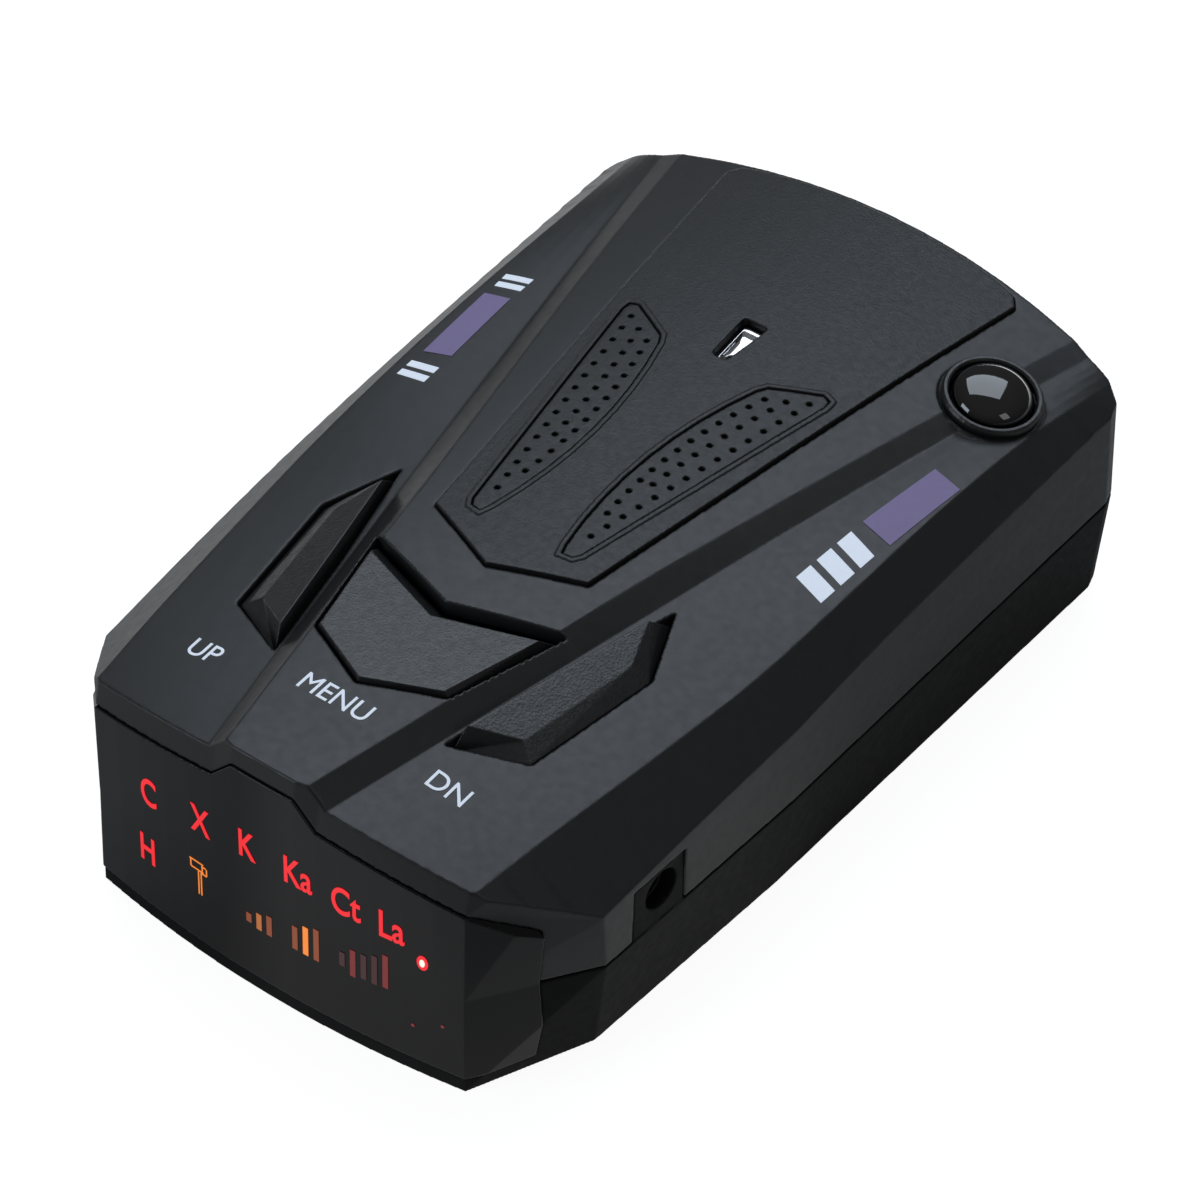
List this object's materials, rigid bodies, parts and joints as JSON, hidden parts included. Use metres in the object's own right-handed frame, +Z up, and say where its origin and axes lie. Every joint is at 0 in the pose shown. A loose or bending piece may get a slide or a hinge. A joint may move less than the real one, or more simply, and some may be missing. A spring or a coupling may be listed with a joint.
{
  "type": "radar detector",
  "caption": "Low wedge-shaped dashboard radar and laser detector with a smoked front display, sprung top keys, perforated speaker pads, a domed laser sensor and a side DC power socket.",
  "frame": {"origin": "centre of the bounding box's bottom face, on the surface the detector rests on", "axes": "+Z up out of the keys, +Y from the display towards the rear window, +X towards the side with the DC socket"},
  "size_m": [0.0698, 0.1089, 0.0335],
  "materials": {
    "shell_black": "soft-touch satin",
    "tray_black": "fine matt grain",
    "grained_black": "leather-like fine grain",
    "key_black": "satin",
    "smoked_lens": "polished dark tint",
    "reflector_chrome": "mirror",
    "circuit_board": "solder-mask green",
    "component_black": "moulded",
    "screw_steel": "zinc plated",
    "tin_can": "tinned sheet",
    "cast_zinc": "as cast",
    "cone_paper": "pressed pulp",
    "lamp_red": "tinted lamp",
    "lamp_amber": "tinted lamp",
    "label_grey": "plain film"
  },
  "bodies": {
    "housing": {"top_shell": "shell_black", "bottom_shell": "tray_black", "display_lens": "smoked_lens", "top_panel": "grained_black", "grille_pad_right": "grained_black", "grille_pad_left": "grained_black", "laser_reflector": "reflector_chrome", "dome_ring": "key_black", "laser_dome": "smoked_lens", "rear_lens": "smoked_lens", "key_board": "circuit_board", "main_board": "circuit_board", "display_board": "circuit_board", "display_mask": "component_black", "board_header": "component_black", "dc_jack": "component_black", "dc_jack_pin": "screw_steel", "horn_casting": "cast_zinc", "mixer_board": "circuit_board", "oscillator_can": "tin_can", "speaker_frame": "tin_can", "speaker_cone": "cone_paper", "speaker_magnet": "cast_zinc", "shield_can": "tin_can", "laser_receiver": "component_black", "dome_receiver": "component_black", "reflector_receiver": "component_black", "controller_chip": "component_black", "supply_capacitor": "component_black", "rating_label": "label_grey", "switch_up": "tin_can", "switch_menu": "tin_can", "switch_down": "tin_can", "led_c": "lamp_red", "led_h": "lamp_red", "led_x": "lamp_red", "led_camera": "lamp_amber", "led_k": "lamp_red", "led_ka": "lamp_red", "led_ct": "lamp_red", "led_la": "lamp_red", "led_bars_low": "lamp_amber", "led_bars_mid": "lamp_amber", "led_bars_high": "lamp_amber", "led_alert": "lamp_red", "case_screw_1": "screw_steel", "case_screw_2": "screw_steel", "case_screw_3": "screw_steel", "case_screw_4": "screw_steel", "board_screw_1": "screw_steel", "board_screw_2": "screw_steel", "board_screw_3": "screw_steel", "key_screw_1": "screw_steel", "key_screw_2": "screw_steel"},
    "key_up": {"button_up": "key_black", "plunger_up": "component_black"},
    "key_menu": {"button_menu": "key_black", "plunger_menu": "component_black"},
    "key_down": {"button_down": "key_black", "plunger_down": "component_black"}
  },
  "joints": [
    {"name": "up_key_press", "type": "slide", "parent": "housing", "child": "key_up", "axis": [0, 0, -1], "range_m": [0, 0.0006], "stiffness_N_per_m": 900},
    {"name": "menu_key_press", "type": "slide", "parent": "housing", "child": "key_menu", "axis": [0, 0, -1], "range_m": [0, 0.0006], "stiffness_N_per_m": 900},
    {"name": "down_key_press", "type": "slide", "parent": "housing", "child": "key_down", "axis": [0, 0, -1], "range_m": [0, 0.0006], "stiffness_N_per_m": 900}
  ]
}
